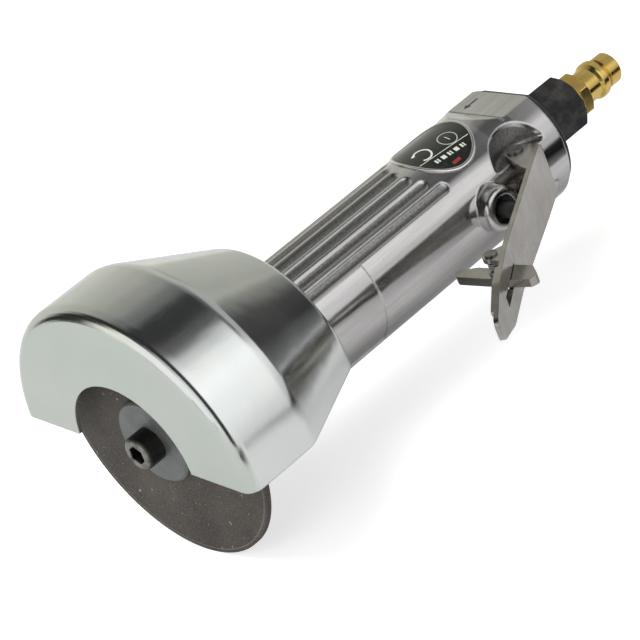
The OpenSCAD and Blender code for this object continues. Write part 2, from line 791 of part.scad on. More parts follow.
module throttle_lever() {
    ear_r = 3.2;
    catch_ear_r = 2.5;
    slot_s = [catch_s - 3.5, catch_s + 14.5];
    slot_half = catch_t / 2 + free_gap;
    inner_m = lever_rise - lever_t;
    bend_s = slot_s[0] - 0.5;
    lip_s = [62, 80];
    lip_depth = 0.8;
    // How far the slotted front stands out past the web's outer face
    front_rise = 2.5;
    color(nickel) lever_frame() difference() {
        union() {
            // Web, in the plane of s and z
            intersection() {
                web_sheet();
                translate([-bend_s, -lever_rise, -lever_half_w])
                    cube([bend_s - web_rear_s, lever_t, 2 * lever_half_w]);
            }
            // Slotted front, bent away from the barrel, with a low lip along its edges
            translate([-bend_s, -inner_m, 0]) rotate([0, 0, tip_bend]) translate([bend_s, inner_m, 0]) union() {
                intersection() {
                    web_sheet();
                    translate([-lever_l - 1, -lever_rise, -lever_half_w])
                        cube([lever_l + 1 - bend_s, lever_t, 2 * lever_half_w]);
                }
                intersection() {
                    translate([0, -inner_m + lip_depth, 0]) rotate([90, 0, 0])
                        linear_extrude(height = lip_depth + lever_t / 2) mirror([1, 0]) difference() {
                            web_outline();
                            offset_web(lever_t);
                        }
                    translate([-lip_s[1], -lever_rise, -lever_half_w])
                        cube([lip_s[1] - lip_s[0], lever_rise, 2 * lever_half_w]);
                }
            }
            for (side = [-1, 1]) {
                z0 = side < 0 ? -lever_half_w : lever_half_w - lever_t;
                // Pivot ear
                side_plate(z0, z0 + lever_t) union() {
                    circle(r = ear_r);
                    polygon([
                        [-ear_r, 0], [web_rear_s, inner_m + lever_t / 2], [12.6, inner_m + lever_t / 2],
                        [10.6, inner_m - 1.6], [6.4, 0.6], [4.6, -0.6], [2.4, -2.1]
                    ]);
                }
                // Catch ear
                catch_z0 = side < 0 ? -catch_half_w : catch_half_w - lever_t;
                side_plate(catch_z0, catch_z0 + lever_t) union() {
                    translate([catch_s, catch_m]) circle(r = catch_ear_r);
                    polygon([
                        [catch_s - 4.4, inner_m + lever_t / 2], [catch_s + 4.4, inner_m + lever_t / 2],
                        [catch_s + catch_ear_r, catch_m], [catch_s - catch_ear_r, catch_m]
                    ]);
                }
            }
        }
        // Slot for the catch
        translate([-slot_s[1], -lever_rise - front_rise, -slot_half])
            cube([slot_s[1] - slot_s[0], lever_t + front_rise + 0.5, 2 * slot_half]);
        cross_pin(0, 0, lever_pin_d / 2 + seat_gap, lever_half_w + overcut);
        cross_pin(catch_s, catch_m, catch_pin_d / 2 + seat_gap, lever_half_w + overcut);
    }
}

// Half of the width over the catch's two ears
catch_half_w = 7.1;

// The web's outline moved inwards by t, only where the lips run
module offset_web(t) {
    start_s = web_taper_s - 15;
    polygon(rounded_path(
        [
            [start_s, t - web_half(start_s)], [web_taper_s, t - web_taper_half_w],
            [lever_l - t, -tip_half_w + t * 0.7], [lever_l - t, tip_half_w - t * 0.7],
            [web_taper_s, web_taper_half_w - t], [start_s, web_half(start_s) - t]
        ],
        [0, 10 - t, 1, 1, 10 - t, 0], 6
    ));
}

module rivet(s, m, half_w, shank_r, head_r, head_h) {
    cross_pin(s, m, shank_r, half_w + head_h / 2);
    for (side = [-1, 1]) {
        z0 = side < 0 ? -half_w - head_h : half_w;
        side_plate(z0, z0 + head_h) translate([s, m]) circle(r = head_r);
    }
}

module lever_pin() {
    color(nickel) lever_frame() rivet(0, 0, lever_half_w, lever_pin_d / 2, lever_pin_d / 2 + 0.9, 0.7);
}

module catch_pin() {
    color(nickel) lever_frame()
        rivet(catch_s, catch_m, catch_half_w, catch_pin_d / 2, catch_pin_d / 2 + 0.6, 0.5);
}

module safety_catch() {
    hub_r = catch_pin_d / 2 + 1;
    hub_half = 2.6;
    color(nickel) lever_frame() difference() {
        union() {
            side_plate(-catch_t / 2, catch_t / 2) translate([catch_s, catch_m]) polygon(rounded_path(
                [
                    [-5.6, -12.2], [-4.1, -13.1], [-2.2, -12.1], [2.6, -1.2], [4.5, 3.6], [6.4, 10.2],
                    [4.8, 12.1], [-0.7, 9.8], [-2.9, 4.3], [-3.2, -1.9], [-5.2, -6.5]
                ],
                [0.6, 0.6, 0.6, 2, 2, 1.2, 1.2, 1.6, 1.5, 2, 2.5], 5
            ));
            side_plate(-hub_half, hub_half) translate([catch_s, catch_m]) circle(r = hub_r);
        }
        cross_pin(catch_s, catch_m, catch_pin_d / 2 + run_gap, lever_half_w);
    }
}

// A wire bent along a list of points, swept as one tube
function tube_rings(path, r, sides) =
    [
        for (i = [0:len(path) - 1])
            let (
                ahead = path[min(i + 1, len(path) - 1)] - path[max(i - 1, 0)],
                t = ahead / norm(ahead),
                side = cross(t, [0, 0, 1]),
                u = norm(side) > 0.05 ? side / norm(side) : [1, 0, 0],
                v = cross(t, u)
            )
            each [for (k = [0:sides - 1]) path[i] + r * (u * cos(k * 360 / sides) + v * sin(k * 360 / sides))]
    ];

module wire(path, r, sides) {
    count = len(path);
    polyhedron(
        points = tube_rings(path, r, sides),
        faces = concat(
            [[for (k = [0:sides - 1]) k]],
            [
                for (i = [0:count - 2]) for (k = [0:sides - 1]) each [
                    [i * sides + k, (i + 1) * sides + k, (i + 1) * sides + (k + 1) % sides],
                    [i * sides + k, (i + 1) * sides + (k + 1) % sides, i * sides + (k + 1) % sides]
                ]
            ],
            [[for (k = [0:sides - 1]) (count - 1) * sides + sides - 1 - k]]
        )
    );
}

// The catch's torsion spring, wound round the pin beside the catch, with one leg under the web
module catch_spring() {
    wire_r = 0.3;
    coil_r = catch_pin_d / 2 + 0.1 + wire_r;
    start_z = 3;
    pitch = 0.7;
    turns = 3;
    steps = 8;
    leg_m = lever_rise - lever_t - wire_r - free_gap - catch_m;
    coil = [
        for (i = [0:turns * steps])
            let (a = i * 360 / steps + 90)
            [-catch_s + coil_r * cos(a), -catch_m - coil_r * sin(a), start_z + pitch * i / steps]
    ];
    last = coil[len(coil) - 1];
    color(nickel) lever_frame() wire(
        concat(
            [[-catch_s - 5.4, -catch_m - min(coil_r, leg_m), start_z - 0.05]],
            [[-catch_s - 1.5, -catch_m - min(coil_r, leg_m), start_z - 0.03]],
            coil,
            [last + [0.6, 0, 0.1]], [last + [1.2, 0, 0.15]]
        ),
        wire_r, 6
    );
}

// The stem's round tip, kept a free gap away from the lever's web
stem_tip_r = stem_d / 2;
web_at_valve = pivot_y + (lever_rise - lever_t) / cos(lever_angle) + (pivot_x - valve_x) * tan(lever_angle);
stem_centre = web_at_valve - (stem_tip_r + free_gap) / cos(lever_angle);
bushing_in = 13.5;
seat_in = 11;
poppet_r = 3.9;
poppet_out = seat_in - free_gap;
poppet_l = 2.2;
chamber_floor = -body_r;
plug_outer = chamber_floor + 0.9;

module valve_stem() {
    color(black_oxide) union() {
        radial_rod(stem_tip_r, poppet_out - overcut, stem_centre);
        translate([valve_x, -stem_centre, 0]) rotate([90, 0, 0]) rotate_extrude() intersection() {
            circle(r = stem_tip_r);
            translate([0, -stem_tip_r]) square([stem_tip_r, 2 * stem_tip_r]);
        }
        radial_rod(poppet_r, poppet_out - poppet_l, poppet_out);
        radial_rod(stem_tip_r - 1, poppet_out - poppet_l - 1.5, poppet_out);
    }
}

module valve_bushing() {
    color(black_oxide) difference() {
        radial_rod(chamber_r - seat_gap, bushing_in, mouth_floor);
        radial_rod(stem_tip_r + run_gap, bushing_in - overcut, boss_h);
        radial_rod(stem_tip_r + 1.3, bushing_in - overcut, bushing_in + 2);
    }
}

module valve_seal() {
    color(rubber) difference() {
        radial_rod(stem_tip_r + 1.3 - seat_gap, bushing_in, bushing_in + 1.9);
        radial_rod(stem_tip_r + run_gap, bushing_in - overcut, bushing_in + 3);
    }
}

module valve_seat() {
    color(rubber) difference() {
        radial_rod(chamber_r - seat_gap, seat_in, seat_in + 1.4);
        radial_rod(stem_tip_r + 0.7, seat_in - overcut, seat_in + 3);
    }
}

plug_top = plug_outer + 4;

module valve_plug() {
    slot_w = 1.2;
    slot_depth = 1.2;
    color(bearing_steel) difference() {
        radial_rod(chamber_r - seat_gap, plug_outer, plug_top);
        translate([valve_x - chamber_r, -plug_outer - slot_depth, -slot_w / 2])
            cube([2 * chamber_r, slot_depth + overcut, slot_w]);
    }
}

module valve_spring() {
    coil_r = poppet_r - spring_wire_d / 2 - 0.4;
    rings = 8;
    low = plug_top + spring_wire_d / 2 + 0.1;
    high = poppet_out - poppet_l - spring_wire_d / 2 - 0.1;
    color(bearing_steel) wire(
        [
            for (i = [0:spring_curls * rings])
                let (a = i * 360 / rings)
                [
                    valve_x + coil_r * cos(a),
                    -(low + (high - low) * i / (spring_curls * rings)),
                    coil_r * sin(a)
                ]
        ],
        spring_wire_d / 2, 6
    );
}

bushing_hex_x = body_rear_x + deflector_t + bushing_neck_l;
bushing_rear_x = bushing_hex_x + bushing_hex_l;
bushing_neck_r = inlet_thread_r + 1.6;
washer_t = 1.2;
nipple_hex_x = bushing_rear_x + washer_t;
nipple_ring_x = nipple_hex_x + nipple_hex_l + 7;
nipple_end_x = nipple_ring_x + nipple_nose_l;
thread_in = 9;

module inlet_bushing() {
    hex_corner_r = bushing_af / sqrt(3);
    color(black_oxide) difference() {
        union() {
            rod(inlet_thread_r, body_rear_x - inlet_thread_l, bushing_hex_x + overcut);
            rod(bushing_neck_r, body_rear_x + deflector_t, bushing_hex_x + overcut);
            intersection() {
                hex_bar(bushing_af, bushing_hex_x, bushing_rear_x);
                turned([
                    [bushing_hex_x, 0], [bushing_hex_x, hex_corner_r - 0.8], [bushing_hex_x + 1, hex_corner_r],
                    [bushing_rear_x - 1.4, hex_corner_r], [bushing_rear_x, hex_corner_r - 1.2],
                    [bushing_rear_x, 0]
                ]);
            }
        }
        rod(inlet_bore_r, body_rear_x - inlet_thread_l - overcut, bushing_rear_x + overcut);
        rod(nipple_thread_r + seat_gap, bushing_rear_x - thread_in - 1, bushing_rear_x + overcut);
    }
}

module inlet_seal() {
    groove_x = body_rear_x + deflector_t;
    color(rubber) ring(
        bushing_neck_r + 1.2, bushing_neck_r + seat_gap, groove_x, bushing_hex_x - seat_gap
    );
}

module inlet_screen() {
    screen_x = bushing_rear_x - thread_in - 2.4;
    hole_r = 0.5;
    color(brass) difference() {
        ring(inlet_bore_r - seat_gap, 0.6, screen_x, screen_x + 1.2);
        for (i = [0:5]) {
            rotate([i * 60, 0, 0]) translate([0, 0, 2.2]) rod(hole_r, screen_x - overcut, screen_x + 3);
        }
    }
}

module exhaust_deflector() {
    deflector_x = body_rear_x + seat_gap;
    slot_n = 10;
    slot_r = 1.3;
    slot_ring_r = (muffler_r_in + muffler_r_out) / 2;
    edge = 0.8;
    below_flat = 0.8;
    color(black_oxide) difference() {
        turned([
            [deflector_x, inlet_thread_r + seat_gap], [deflector_x, deflector_r],
            [deflector_x + deflector_t - edge, deflector_r], [body_rear_x + deflector_t, deflector_r - edge],
            [body_rear_x + deflector_t, inlet_thread_r + seat_gap]
        ]);
        for (i = [0:slot_n - 1]) {
            rotate([i * 360 / slot_n, 0, 0]) translate([0, 0, slot_ring_r])
                rod(slot_r, deflector_x - overcut, deflector_x + deflector_t + overcut);
        }
        // Cut a little below the head's flat
        translate([deflector_x - overcut, -deflector_r, pad_z - below_flat])
            cube([deflector_t + 2 * overcut, 2 * deflector_r, deflector_r]);
    }
}

module muffler() {
    color(felt_brown) ring(
        muffler_r_out - seat_gap, muffler_r_in + seat_gap,
        body_rear_x - muffler_l + seat_gap, body_rear_x - seat_gap
    );
}

module inlet_nipple() {
    lip = 0.5;
    ring_l = 3.2;
    color(brass) difference() {
        union() {
            rod(nipple_thread_r, bushing_rear_x - thread_in, nipple_hex_x + overcut);
            intersection() {
                hex_bar(nipple_af, nipple_hex_x, nipple_hex_x + nipple_hex_l);
                turned([
                    [nipple_hex_x, 0], [nipple_hex_x, nipple_af * 0.53], [nipple_hex_x + 0.5, nipple_af * 0.57],
                    [nipple_hex_x + nipple_hex_l - 0.8, nipple_af * 0.57],
                    [nipple_hex_x + nipple_hex_l, nipple_af * 0.51], [nipple_hex_x + nipple_hex_l, 0]
                ]);
            }
            turned(concat(
                [[nipple_hex_x, 0], [nipple_hex_x, nipple_r], [nipple_ring_x - 1.1, nipple_r]],
                round_corner(
                    [nipple_ring_x - 1.1, nipple_r], [nipple_ring_x, nipple_ring_r],
                    [nipple_ring_x + ring_l - 1, nipple_ring_r], 1, 5
                ),
                round_corner(
                    [nipple_ring_x, nipple_ring_r], [nipple_ring_x + ring_l - 1, nipple_ring_r],
                    [nipple_ring_x + ring_l, nipple_r - 0.7], 0.8, 5
                ),
                [[nipple_ring_x + ring_l, nipple_r - 0.7], [nipple_ring_x + ring_l + 0.3, nipple_r - 0.7]],
                [[nipple_ring_x + ring_l + 0.8, nipple_r], [nipple_end_x - lip, nipple_r]],
                [[nipple_end_x, nipple_r - lip], [nipple_end_x, 0]]
            ));
        }
        rod(nipple_bore_r, bushing_rear_x - thread_in - overcut, nipple_end_x + overcut);
    }
}

module nipple_washer() {
    color(brass) ring(nipple_af / 2 + 0.9, nipple_thread_r + seat_gap, bushing_rear_x, nipple_hex_x);
}

disc_screw();
outer_flange();
cutting_disc();
inner_flange();
guard();
clamp_screw();
clamp_nut();
housing();
label_plate();
lock_ring();
dust_seal();
front_end_plate();
front_bearing_outer();
front_bearing_inner();
front_bearing_balls();
rotor();
rotor_vanes();
cylinder_liner();
cylinder_pin();
rear_end_plate();
rear_bearing_outer();
rear_bearing_inner();
rear_bearing_balls();
throttle_lever();
lever_pin();
safety_catch();
catch_pin();
catch_spring();
valve_stem();
valve_bushing();
valve_seal();
valve_seat();
valve_spring();
valve_plug();
inlet_bushing();
inlet_seal();
inlet_screen();
exhaust_deflector();
muffler();
inlet_nipple();
nipple_washer();
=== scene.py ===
"""Looks of a pneumatic cut off tool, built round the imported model."""

import json
import math

import bpy
from mathutils import Matrix, Quaternion, Vector


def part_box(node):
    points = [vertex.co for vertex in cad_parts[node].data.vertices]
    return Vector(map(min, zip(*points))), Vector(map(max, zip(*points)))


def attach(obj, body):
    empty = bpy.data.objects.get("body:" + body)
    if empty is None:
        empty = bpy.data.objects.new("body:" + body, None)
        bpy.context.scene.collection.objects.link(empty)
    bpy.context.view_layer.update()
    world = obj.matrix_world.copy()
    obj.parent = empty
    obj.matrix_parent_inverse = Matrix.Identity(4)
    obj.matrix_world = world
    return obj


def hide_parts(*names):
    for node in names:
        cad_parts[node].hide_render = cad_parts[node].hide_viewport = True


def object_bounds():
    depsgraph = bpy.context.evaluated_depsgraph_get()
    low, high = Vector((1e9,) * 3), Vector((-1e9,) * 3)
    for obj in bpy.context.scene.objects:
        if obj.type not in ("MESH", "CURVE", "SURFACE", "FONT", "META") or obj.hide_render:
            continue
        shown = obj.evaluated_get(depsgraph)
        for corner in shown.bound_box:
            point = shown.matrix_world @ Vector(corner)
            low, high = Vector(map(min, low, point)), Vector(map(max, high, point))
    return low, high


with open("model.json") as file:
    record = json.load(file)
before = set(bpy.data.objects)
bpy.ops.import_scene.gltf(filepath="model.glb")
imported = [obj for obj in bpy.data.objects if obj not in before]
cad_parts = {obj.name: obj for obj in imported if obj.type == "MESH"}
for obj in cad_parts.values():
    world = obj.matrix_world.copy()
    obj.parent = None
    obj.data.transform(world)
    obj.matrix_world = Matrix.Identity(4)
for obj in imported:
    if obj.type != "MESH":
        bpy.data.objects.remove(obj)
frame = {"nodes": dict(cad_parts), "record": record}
cad_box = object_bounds()

MM = 0.001

# Camera, fitted to the photograph's outlines
CAMERA_PLACE = (-0.374011, -0.637061, 0.386476)
CAMERA_TURN = (0.747711, 0.521681, -0.057852, -0.406731)
LENS_MM = 180
SENSOR_MM = 36
CLIP = (0.01, 20)

# Places that the looks share with the model, in the row frame
LABEL_TURN = math.radians(6)
LABEL_WIDTH = 24.8 * MM
LABEL_INNER_R = 18.72 * MM
HEAD_FLAT_Z = 15.9 * MM
# The distance from the axis over which the barrel turns from cast to polished, and where the head and
# its flat begin, which are polished as well
POLISHED_R = (18.1 * MM, 18.3 * MM)
HEAD_FRONT_X = (137.5 * MM, 138 * MM)
HEAD_FLAT_FROM_Z = (14.9 * MM, 15.1 * MM)
# The disc screw's front, from clean to worn, and the middle of the disc's pale rim
SCREW_WORN_X = (0.5 * MM, 0.1 * MM)
DISC_RIM_R = 36.4 * MM
# Turns of the disc's woven net, in radians per metre
NET_THREADS = 3000
# Rays that find an edge to round
EDGE_SAMPLES = 6


def node(tree, kind, inputs=None, **settings):
    """Adds a shader node. An input's value is a plain value or another node's output."""
    made = tree.nodes.new("ShaderNode" + kind)
    for name, value in settings.items():
        setattr(made, name, value)
    for key, value in (inputs or {}).items():
        if isinstance(value, bpy.types.NodeSocket):
            tree.links.new(value, made.inputs[key])
        else:
            made.inputs[key].default_value = value
    return made


def maths(tree, operation, a, b=0.0, clamp=False):
    """A maths node's output."""
    return node(tree, "Math", {0: a, 1: b}, operation=operation, use_clamp=clamp).outputs[0]


def times(tree, a, b):
    """a times b."""
    return maths(tree, "MULTIPLY", a, b)


def minus(tree, a, b):
    """a less b."""
    return maths(tree, "SUBTRACT", a, b)


def summed(tree, *parts):
    """The sum of parts, each a pair of a value and its share."""
    total = 0.0
    for value, share in parts:
        inputs = {0: value, 1: share, 2: total}
        total = node(tree, "Math", inputs, operation="MULTIPLY_ADD").outputs[0]
    return total


def distance(tree, a, b):
    """The length of a way that goes a to one side and b to the other."""
    return maths(tree, "SQRT", summed(tree, (a, a), (b, b)))


def highest(tree, *values):
    """The highest of the values."""
    top = values[0]
    for value in values[1:]:
        top = maths(tree, "MAXIMUM", top, value)
    return top


def mixed(tree, factor, a, b, blend="MIX"):
    """Colour a mixed with colour b by factor."""
    made = node(tree, "Mix", {0: factor}, data_type="RGBA", blend_type=blend)
    for key, value in ((6, a), (7, b)):
        if isinstance(value, bpy.types.NodeSocket):
            tree.links.new(value, made.inputs[key])
        else:
            made.inputs[key].default_value = (*value, 1.0)
    return made.outputs[2]


def ramp(tree, factor, stops):
    """Grey levels along factor, as stops of (place, level) with soft passages between them."""
    made = node(tree, "ValToRGB", {0: factor})
    made.color_ramp.interpolation = "EASE"
    points = made.color_ramp.elements
    while len(points) < len(stops):
        points.new(0.5)
    for point, (at, level) in zip(points, stops):
        point.position = at
        point.color = (level, level, level, 1.0)
    return made.outputs[0]


def spread(tree, value, low, high, new_low=0.0, new_high=1.0):
    """Value moved from the range low to high into a new range, and held there."""
    inputs = {0: value, 1: low, 2: high, 3: new_low, 4: new_high}
    return node(tree, "MapRange", inputs, clamp=True).outputs[0]


def place(tree, scale=(1, 1, 1), turn=(0, 0, 0)):
    """The surface's place in the row frame, turned and scaled."""
    where = node(tree, "TexCoord").outputs["Object"]
    return node(tree, "Mapping", {0: where, 2: turn, 3: scale}).outputs[0]


def axes(tree, where=None):
    """The X, Y and Z of a place, which is the surface's own unless another is given."""
    return node(tree, "SeparateXYZ", {0: place(tree) if where is None else where}).outputs


def noise(tree, where, scale, detail, roughness=0.6):
    """A noise texture's grey value."""
    inputs = {"Vector": where, "Scale": scale, "Detail": detail, "Roughness": roughness}
    return node(tree, "TexNoise", inputs).outputs[0]


def new_material(name, **sockets):
    """A material with one Principled shader, its sockets set by name."""
    made = bpy.data.materials.new(name)
    made.use_nodes = True
    shader = made.node_tree.nodes["Principled BSDF"]
    for key, value in sockets.items():
        shader.inputs[key.replace("_", " ")].default_value = value
    return made, made.node_tree, shader


def connect(tree, shader, **sockets):
    """Links outputs to the shader's sockets by name."""
    for key, value in sockets.items():
        tree.links.new(value, shader.inputs[key.replace("_", " ")])


def mottled(tree, cloud, dark, light, low=0.35, high=0.65):
    """A tone from dark to light, as the cloud's grey value passes from low to high."""
    return mixed(tree, spread(tree, cloud, low, high), dark, light)


def overlaid(tree, tone, mask, amount, colour):
    """A tone with some of another colour on it where the mask is 1."""
    return mixed(tree, times(tree, mask, amount), tone, colour)


def roughness_by(tree, cloud, smooth, rough):
    """A roughness from smooth to rough, by the cloud's grey value."""
    return spread(tree, cloud, 0.3, 0.7, smooth, rough)


def coat(tree, shader, tone, rough, height, depth, edge=None):
    """Links tone and roughness, and a bump of a depth over edges that are rounded by a radius."""
    inputs = {"Strength": 1.0, "Distance": depth, "Height": height}
    if edge is not None:
        inputs["Normal"] = node(tree, "Bevel", {0: edge}, samples=EDGE_SAMPLES).outputs[0]
    surface = node(tree, "Bump", inputs).outputs[0]
    connect(tree, shader, Base_Color=tone, Roughness=rough, Normal=surface)


def worn_patches(tree, scale, low, high):
    """Patches from 0 to 1, where a noise of the given scale passes from low to high."""
    return spread(tree, noise(tree, place(tree), scale, detail=5, roughness=0.65), low, high)


def fine_scratches(tree, turn, length, width):
    """Thin scratches from 0 to 1 that run along X, turned by the given angles."""
    stretched = place(tree, (1 / length, 1 / width, 1 / width), turn)
    return spread(tree, noise(tree, stretched, scale=1.0, detail=2), 0.66, 0.74)


def reach_from_axis(tree):
    """The distance from the spindle's axis."""
    _, y, z = axes(tree)
    return distance(tree, y, z)


def turned_rings(tree, pitch, amount):
    """Fine rings about the spindle's axis, as a lathe leaves them."""
    wave = maths(tree, "SINE", times(tree, reach_from_axis(tree), 2 * math.pi / pitch))
    return times(tree, wave, amount)


def zinc_plate():
    made, tree, shader = new_material("zinc_plate", Metallic=1.0)
    cloud = noise(tree, place(tree), scale=45, detail=4)
    grain = noise(tree, place(tree), scale=1400, detail=2)
    dents = noise(tree, place(tree), scale=70, detail=2, roughness=0.4)
    spots = worn_patches(tree, scale=260, low=0.68, high=0.78)
    scratches = fine_scratches(tree, (0.3, 0.2, 0.9), length=12 * MM, width=0.25 * MM)
    tone = mottled(tree, cloud, dark=(0.74, 0.775, 0.765), light=(0.79, 0.81, 0.79))
    tone = overlaid(tree, tone, spots, 0.35, (0.50, 0.52, 0.50))
    rough = roughness_by(tree, cloud, smooth=0.10, rough=0.17)
    rough = summed(tree, (rough, 1.0), (spots, 0.12), (scratches, 0.05))
    height = summed(tree, (grain, 1.0), (cloud, 6.0), (dents, 40.0), (scratches, -1.0))
    coat(tree, shader, tone, rough, height, depth=0.004 * MM, edge=0.5 * MM)
    return made


def unpolished(tree):
    """1 on the sunk surfaces that the polishing wheel didn't reach: flutes, recesses and bores."""
    x, _, z = axes(tree)
    sunk = spread(tree, reach_from_axis(tree), POLISHED_R[1], POLISHED_R[0])
    on_flat = times(tree, spread(tree, x, *HEAD_FRONT_X), spread(tree, z, *HEAD_FLAT_FROM_Z))
    return maths(tree, "SUBTRACT", sunk, on_flat, clamp=True)


def polished_aluminium():
    """Streaky polished metal, with pits, and a matt sandy skin where it is unpolished."""
    made, tree, shader = new_material("polished_aluminium", Metallic=1.0)
    streak = noise(tree, place(tree, (0.06, 1, 1)), scale=420, detail=4, roughness=0.65)
    cloud = noise(tree, place(tree), scale=90, detail=4)
    grain = noise(tree, place(tree), scale=1500, detail=4, roughness=0.7)
    pits = worn_patches(tree, scale=700, low=0.66, high=0.76)
    cast = unpolished(tree)
    tone = mottled(tree, streak, (0.54, 0.53, 0.53), (0.70, 0.69, 0.685), low=0.3, high=0.7)
    tone = overlaid(tree, tone, pits, 0.5, (0.30, 0.28, 0.27))
    sandy = mottled(tree, grain, dark=(0.20, 0.20, 0.195), light=(0.40, 0.395, 0.385))
    tone = mixed(tree, cast, tone, sandy)
    rough = roughness_by(tree, streak, smooth=0.07, rough=0.15)
    rough = summed(tree, (rough, 1.0), (spread(tree, cloud, 0.4, 0.7), 0.05))
    rough = highest(tree, rough, times(tree, cast, 0.42))
    sand = times(tree, cast, grain)
    height = summed(tree, (streak, 1.0), (cloud, 5.0), (pits, -1.0), (sand, 6.0))
    coat(tree, shader, tone, rough, height, depth=0.004 * MM, edge=0.8 * MM)
    return made


def nickel_steel():
    made, tree, shader = new_material("nickel_steel", Metallic=1.0)
    brush = noise(tree, place(tree, (0.08, 1, 1), (0, 0, -0.5)), scale=1500, detail=3)
    cloud = noise(tree, place(tree), scale=120, detail=4)
    scratches = fine_scratches(tree, (0.4, 0.1, 0.5), length=6 * MM, width=0.12 * MM)
    tone = mottled(tree, cloud, dark=(0.375, 0.353, 0.327), light=(0.47, 0.45, 0.42))
    tone = overlaid(tree, tone, scratches, 0.4, (0.80, 0.78, 0.74))
    rough = roughness_by(tree, brush, smooth=0.17, rough=0.28)
    coat(tree, shader, tone, rough, minus(tree, brush, scratches), depth=0.005 * MM, edge=0.25 * MM)
    return made


def rivet_steel():
    """Darker and shinier than the sheet that it holds."""
    made, tree, shader = new_material("rivet_steel", Metallic=1.0)
    cloud = noise(tree, place(tree), scale=500, detail=3)
    grain = noise(tree, place(tree), scale=1800, detail=2, roughness=0.5)
    tone = mottled(tree, cloud, dark=(0.17, 0.165, 0.155), light=(0.27, 0.26, 0.245))
    rough = roughness_by(tree, cloud, smooth=0.14, rough=0.24)
    coat(tree, shader, tone, rough, grain, depth=0.004 * MM, edge=0.3 * MM)
    return made


def black_steel():
    """Blackened steel, rubbed paler on its edges."""
    made, tree, shader = new_material("black_steel", Metallic=0.4)
    cloud = noise(tree, place(tree), scale=220, detail=4, roughness=0.65)
    grain = noise(tree, place(tree), scale=1800, detail=2)
    on_edge = spread(tree, node(tree, "NewGeometry").outputs["Pointiness"], 0.53, 0.60)
    rub = times(tree, on_edge, spread(tree, cloud, 0.45, 0.65))
    tone = mottled(tree, cloud, dark=(0.022, 0.021, 0.021), light=(0.040, 0.038, 0.037))
    tone = overlaid(tree, tone, rub, 0.4, (0.16, 0.155, 0.15))
    rough = roughness_by(tree, cloud, smooth=0.37, rough=0.42)
    coat(tree, shader, tone, rough, grain, depth=0.008 * MM, edge=0.25 * MM)
    return made


def screw_steel():
    """Black oxide steel, whose front face is worn grey."""
    made, tree, shader = new_material("screw_steel", Metallic=0.9)
    cloud = noise(tree, place(tree), scale=260, detail=4, roughness=0.65)
    grain = noise(tree, place(tree), scale=1600, detail=2)
    front = spread(tree, axes(tree)[0], *SCREW_WORN_X)
    worn = times(tree, front, spread(tree, cloud, 0.3, 0.55))
    tone = mottled(tree, cloud, dark=(0.030, 0.029, 0.028), light=(0.060, 0.058, 0.056))
    tone = mixed(tree, worn, tone, (0.36, 0.34, 0.32))
    rough = roughness_by(tree, cloud, smooth=0.32, rough=0.48)
    coat(tree, shader, tone, rough, grain, depth=0.01 * MM, edge=0.25 * MM)
    return made


def grey_steel():
    made, tree, shader = new_material("grey_steel", Metallic=0.85)
    rings = turned_rings(tree, pitch=0.45 * MM, amount=0.5)
    cloud = noise(tree, place(tree), scale=150, detail=4)
    tone = mottled(tree, cloud, dark=(0.20, 0.205, 0.21), light=(0.29, 0.295, 0.30))
    rough = roughness_by(tree, cloud, smooth=0.42, rough=0.55)
    height = summed(tree, (rings, 1.0), (cloud, 1.0))
    coat(tree, shader, tone, rough, height, depth=0.006 * MM, edge=0.3 * MM)
    return made


def bearing_steel():
    made, tree, shader = new_material("bearing_steel", Metallic=1.0)
    rings = turned_rings(tree, pitch=0.3 * MM, amount=0.4)
    cloud = noise(tree, place(tree), scale=130, detail=3)
    tone = mottled(tree, cloud, dark=(0.62, 0.63, 0.65), light=(0.74, 0.75, 0.76))
    rough = roughness_by(tree, cloud, smooth=0.18, rough=0.3)
    coat(tree, shader, tone, rough, rings, depth=0.003 * MM, edge=0.2 * MM)
    return made


def spring_steel():
    made, tree, shader = new_material("spring_steel", Metallic=1.0)
    cloud = noise(tree, place(tree), scale=400, detail=3)
    grain = noise(tree, place(tree), scale=2500, detail=2, roughness=0.5)
    tone = mixed(tree, cloud, (0.40, 0.39, 0.38), (0.62, 0.61, 0.60))
    rough = roughness_by(tree, cloud, smooth=0.22, rough=0.35)
    coat(tree, shader, tone, rough, grain, depth=0.003 * MM)
    return made


def brass():
    made, tree, shader = new_material("brass", Metallic=1.0)
    lathe = noise(tree, place(tree, (1, 0.04, 0.04)), scale=1600, detail=2, roughness=0.5)
    cloud = noise(tree, place(tree), scale=160, detail=4)
    tone = mottled(tree, cloud, (0.83, 0.62, 0.20), (0.74, 0.50, 0.13), high=0.7)
    rough = roughness_by(tree, cloud, smooth=0.12, rough=0.24)
    coat(tree, shader, tone, rough, lathe, depth=0.006 * MM, edge=0.2 * MM)
    return made


